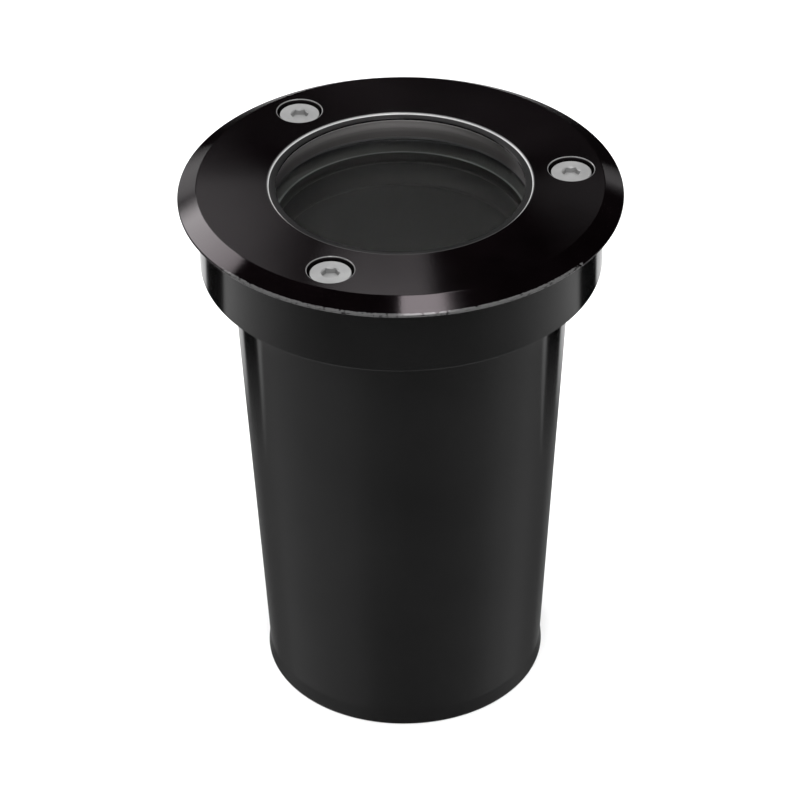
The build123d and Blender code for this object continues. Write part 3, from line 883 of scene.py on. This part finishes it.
def make_screw(number, place):
    """Low-head screw: turned head, hexagon socket and ridged thread."""
    mouth_floor = SCREW_TOP - MOUTH_DEPTH
    socket = hexagon(SOCKET_FLATS, SCREW_TOP - SOCKET_DEPTH, SCREW_TOP + PAST, SOCKET_TURN)
    mouth = turned([
        (0, mouth_floor, 0), (SOCKET_FLATS / 2, mouth_floor, 0),
        (SOCKET_FLATS / 2 + MOUTH_DEPTH + PAST, SCREW_TOP + PAST, 0), (0, SCREW_TOP + PAST, 0),
    ], HOLE_STEPS)
    made = cut(f"cover_screw_{number}_steel", turned(screw_profile(), FINE_STEPS), [socket, mouth])
    made.data.transform(Matrix.Translation((place[0] * MM, place[1] * MM, 0)))
    return made


# ---- the light, piece by piece -------------------------------------------------------------------


def finish_inner_pieces():
    """The pieces that no mesh stands for yet keep their shape, cleaned and finished."""
    remade = {name for piece in bpy.data.objects for name in piece.get("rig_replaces", [])}
    for node in frame["nodes"]:
        if node in remade:
            continue
        made = solid(f"{node}_finished", merged(node))
        finish_piece(made, finishes[slot_of[node]], node, INNER_SHARP_ANGLE)


finish_piece(make_sleeve(), finishes["sleeve_plastic"], "mounting_sleeve")
finish_piece(make_cap(), finishes["sleeve_plastic"], "base_cap")
finish_piece(make_cover(), finishes["cover_paint"], "cover_ring")
finish_piece(make_glass(), finishes["thick_glass"], "glass_lens")
finish_piece(make_gasket(), finishes["silicone"], "glass_gasket")
finish_painted_shade_sheet(make_painted_shade_sheet())
for number, place in enumerate(screw_places, start=1):
    finish_piece(make_screw(number, place), finishes["stainless"], f"cover_screw_{number}")
finish_inner_pieces()

# ---- floor and light, in metres ------------------------------------------------------------------

FLOOR_R = 0.9
FLOOR_DROP = 0.00005  # just under what the light stands on
DISC_STEPS = 96
SHEEN_R = 0.45
SHEEN_RISE = 0.0004
SHEEN_SOFT = 0.055
# Round from the front (0) over the side to the back (1): the card's grey, and where it starts.
SHEEN_LIGHT = (
    (0.0, 0.07), (0.2, 0.12), (0.31, 0.25), (0.41, 0.46), (0.515, 0.68), (0.56, 0.78),
    (0.605, 0.74), (0.622, 0.0), (0.745, 0.0), (0.762, 1.1),
)
SHEEN_START = ((0.0, 0.165), (0.58, 0.165), (0.60, 0.11), (0.74, 0.11), (0.76, 0.12))
# Degrees round from the front, and the grey that the upright walls mirror there.
WORLD_SWEEP = (
    (-180, 0.19), (-152, 0.155), (-140, 0.12), (-124, 0.19), (-108, 0.31), (-95, 0.34),
    (-80, 0.34), (-60, 0.33), (-40, 0.29), (-25, 0.19), (0, 0.13), (20, 0.13), (40, 0.17),
    (60, 0.235), (80, 0.34), (100, 0.35), (108, 0.31), (124, 0.18), (140, 0.11),
    (156, 0.165), (180, 0.19),
)
SWEEP_EDGE = (-0.42, -0.3)  # the sweep shows under this slope
SKY_MIRRORED = 0.005
SKY_LIGHT = 0.02

scene = bpy.context.scene
scene.view_settings.view_transform = "Standard"
scene.view_settings.look = "None"


def disc(name, radius, height):
    """A flat round card."""
    work = bmesh.new()
    bmesh.ops.create_circle(work, cap_ends=True, segments=DISC_STEPS, radius=radius)
    bmesh.ops.translate(work, verts=work.verts[:], vec=(0, 0, height))
    return solid(name, work)


def make_floor():
    """The plain pale floor, which nothing mirrors."""
    floor = disc("studio_floor", FLOOR_R, -FLOOR_DROP)
    material, _, _ = bare_material(
        "studio_floor", Base_Color=(0.86, 0.86, 0.86, 1), Roughness=0.9,
    )
    floor.data.materials.append(material)
    floor.visible_glossy = False


def ramp(tree, source, stops):
    """Greys between stops of (position, grey)."""
    node = add(tree, "ValToRGB", Fac=source)
    points = node.color_ramp.elements
    while len(points) < len(stops):
        points.new(0.5)
    for point, (position, value) in zip(points, stops):
        point.position = position
        point.color = (value, value, value, 1)
    return node.outputs["Color"]


def glow_outside(tree, light, distance, start):
    """A light-giving surface that is clear up to a distance from the middle."""
    past = arithmetic(tree, "SUBTRACT", distance, start)
    cover = arithmetic(tree, "DIVIDE", past, SHEEN_SOFT, clamp=True)
    clear = add(tree, "BsdfTransparent")
    glow = add(tree, "Emission", Color=light, Strength=1.0)
    shown = add(tree, "MixShader")
    out = add(tree, "OutputMaterial")
    for number, value in enumerate((cover, clear.outputs[0], glow.outputs[0])):
        feed(tree, value, shown.inputs[number])
    feed(tree, shown.outputs[0], out.inputs["Surface"])


def make_sheen_material():
    """Greys round the card, the same on both sides of the light."""
    material = bpy.data.materials.new("studio_floor_sheen")
    material.use_nodes = True
    tree = material.node_tree
    tree.nodes.clear()
    place, x, y, _ = coordinates(tree)
    side = arithmetic(tree, "ABSOLUTE", x)
    front = arithmetic(tree, "MULTIPLY", y, -1.0)
    angle = arithmetic(tree, "ARCTAN2", side, front)
    share = arithmetic(tree, "DIVIDE", angle, pi)
    distance = add(tree, "VectorMath", operation="LENGTH")
    feed(tree, place, distance.inputs[0])
    light = ramp(tree, share, SHEEN_LIGHT)
    start = ramp(tree, share, SHEEN_START)
    glow_outside(tree, light, distance.outputs["Value"], start)
    return material


def make_floor_sheen():
    """Cards on the floor that the upright walls mirror: bright beside, black, then white behind."""
    card = disc("studio_floor_sheen", SHEEN_R, SHEEN_RISE)
    card.data.materials.append(make_sheen_material())
    card.visible_camera = False
    card.visible_diffuse = False
    card.visible_shadow = False
    card.visible_transmission = False


def softbox(name, size, location, target, radiance, glossy=True):
    """A rectangular studio light of even radiance that faces a target."""
    light = bpy.data.lights.new(name, "AREA")
    light.shape = "RECTANGLE"
    light.size, light.size_y = size
    light.energy = radiance * pi * size[0] * size[1]
    lamp = bpy.data.objects.new(name, light)
    lamp.location = location
    facing = Vector(target) - Vector(location)
    lamp.rotation_euler = facing.to_track_quat("-Z", "Y").to_euler()
    lamp.visible_camera = False
    lamp.visible_glossy = glossy
    scene.collection.objects.link(lamp)


def make_softboxes():
    """The studio's lights: broad ones from above and in front, and cards that the gloss mirrors."""
    cover = (0, 0, COVER_TOP * MM)
    softbox("ceiling", (2.4, 2.4), (0, 0, 1.6), (0, 0, 0), 3.4, glossy=False)
    softbox("overhead_strip", (0.20, 0.85), (0.095, -0.15, 1.1), (0.095, -0.15, 0), 5.8)
    softbox("left_box", (0.46, 0.48), (-0.60, 0.55, 0.70), cover, 4.4)
    softbox("left_low", (0.28, 0.34), (-0.46, 0.86, 0.34), cover, 0.85)
    softbox("left_near", (0.21, 0.132), (-0.145, 0.2, 0.330), (-0.145, 0, 0.330), 0.62)
    softbox("front_near", (0.04, 0.1), (-0.009, 0.2, 0.350), (-0.009, 0, 0.350), 1.4)
    softbox("right_near", (0.04, 0.022), (0.062, 0.2, 0.276), (0.062, 0, 0.276), 0.2)
    softbox("right_strip", (0.12, 0.22), (0.485, 0.84, 0.38), cover, 0.55)
    softbox("front_low", (1.4, 0.2), (0, -0.9, 0.2), cover, 8.0, glossy=False)
    softbox("front_box", (0.8, 0.6), (0, -0.9, 1.1), cover, 5.0, glossy=False)


def make_world():
    """Plain surroundings: pale to the eye, dim above; below, the walls mirror a soft round sweep."""
    world = bpy.data.worlds.new("studio")
    world.use_nodes = True
    world.cycles.sampling_method = "NONE"
    tree = world.node_tree
    split = add(tree, "SeparateXYZ", Vector=add(tree, "TexCoord").outputs["Generated"])
    front = arithmetic(tree, "MULTIPLY", split.outputs["Y"], -1.0)
    angle = arithmetic(tree, "ARCTAN2", split.outputs["X"], front)
    share = fade(tree, angle, (-pi, pi))
    sweep = ramp(tree, share, [(0.5 + turn / 360, value) for turn, value in WORLD_SWEEP])
    below = fade(tree, split.outputs["Z"], SWEEP_EDGE, 1.0, 0.0)
    seen = add(tree, "LightPath").outputs
    mirrored = blend_colours(tree, below, grey(SKY_MIRRORED), sweep)
    other = blend_colours(tree, seen["Is Camera Ray"], grey(SKY_LIGHT), grey(1.0))
    colour = blend_colours(tree, seen["Is Glossy Ray"], other, mirrored)
    feed(tree, colour, tree.nodes["Background"].inputs["Color"])
    scene.world = world


make_floor()
make_floor_sheen()
make_softboxes()
make_world()

# ---- camera --------------------------------------------------------------------------------------

CAMERA_PLACE = (0.0, -0.743483, 0.609876)
CAMERA_PITCH = radians(35.585)  # below the horizon
CAMERA_YAW = radians(-0.054)
CAMERA_ROLL = radians(-0.631)
CAMERA_LENS = 160.34
SENSOR_WIDTH = 36.0


def make_camera():
    """The camera at the photograph's place and angle."""
    forward = Vector((
        sin(CAMERA_YAW) * cos(CAMERA_PITCH),
        cos(CAMERA_YAW) * cos(CAMERA_PITCH),
        -sin(CAMERA_PITCH),
    ))
    level = Vector((cos(CAMERA_YAW), -sin(CAMERA_YAW), 0))
    upward = level.cross(forward)
    right = level * cos(CAMERA_ROLL) + upward * sin(CAMERA_ROLL)
    up = upward * cos(CAMERA_ROLL) - level * sin(CAMERA_ROLL)
    lens = bpy.data.cameras.new("studio_camera")
    lens.lens = CAMERA_LENS
    lens.sensor_width = SENSOR_WIDTH
    lens.clip_start = 0.01
    camera = bpy.data.objects.new("studio_camera", lens)
    turn = Matrix((right, up, -forward)).transposed().to_4x4()
    camera.matrix_world = Matrix.Translation(CAMERA_PLACE) @ turn
    scene.collection.objects.link(camera)
    scene.camera = camera


make_camera()
